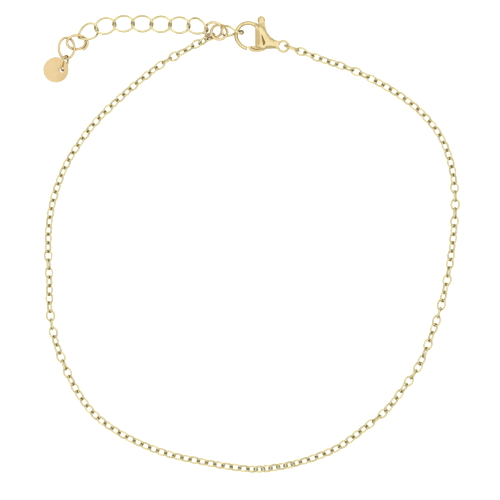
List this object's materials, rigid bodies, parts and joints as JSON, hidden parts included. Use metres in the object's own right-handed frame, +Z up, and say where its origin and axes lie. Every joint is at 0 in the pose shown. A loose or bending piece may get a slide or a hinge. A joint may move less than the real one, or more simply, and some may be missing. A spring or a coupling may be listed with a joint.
{
  "type": "cable chain ankle bracelet",
  "caption": "Fine gold-tone cable chain for the ankle, fastened by a lobster clasp, with a link extender that ends in a small plain disc.",
  "frame": {"origin": "on the surface that the bracelet lies on, below the middle of its outline", "axes": "+Z up from the surface, +Y from the loop's middle towards the clasp, +X towards the side that the clasp's eye points to"},
  "size_m": [0.0719, 0.0792, 0.0031],
  "materials": {
    "chain_gold": "pale gold-tone plating, bright",
    "polished_gold": "gold-tone plating, polished"
  },
  "bodies": {
    "bracelet": {"cable_chain": "chain_gold", "chain_link_first_1": "chain_gold", "chain_link_first_2": "chain_gold", "chain_link_last_1": "chain_gold", "chain_link_last_2": "chain_gold", "clasp_body": "polished_gold", "clasp_pin": "polished_gold", "clasp_jump_ring": "polished_gold", "hook_link": "chain_gold", "joining_ring_1": "polished_gold", "joining_ring_2": "polished_gold", "extender_link_1": "chain_gold", "extender_link_2": "chain_gold", "extender_link_3": "chain_gold", "extender_link_4": "chain_gold", "extender_link_5": "chain_gold", "extender_link_6": "chain_gold", "extender_link_7": "chain_gold", "end_link_1": "polished_gold", "end_link_2": "polished_gold", "charm_ring": "polished_gold", "disc_charm": "polished_gold"},
    "lever": {"clasp_lever": "polished_gold"}
  },
  "joints": [
    {"name": "lever_pivot", "type": "hinge", "parent": "bracelet", "child": "lever", "pos_m": [0.00247, 0.03536, 0.0011], "axis": [0, 0, -1], "range_deg": [0, 22], "stiffness_Nm_per_rad": 0.01}
  ]
}
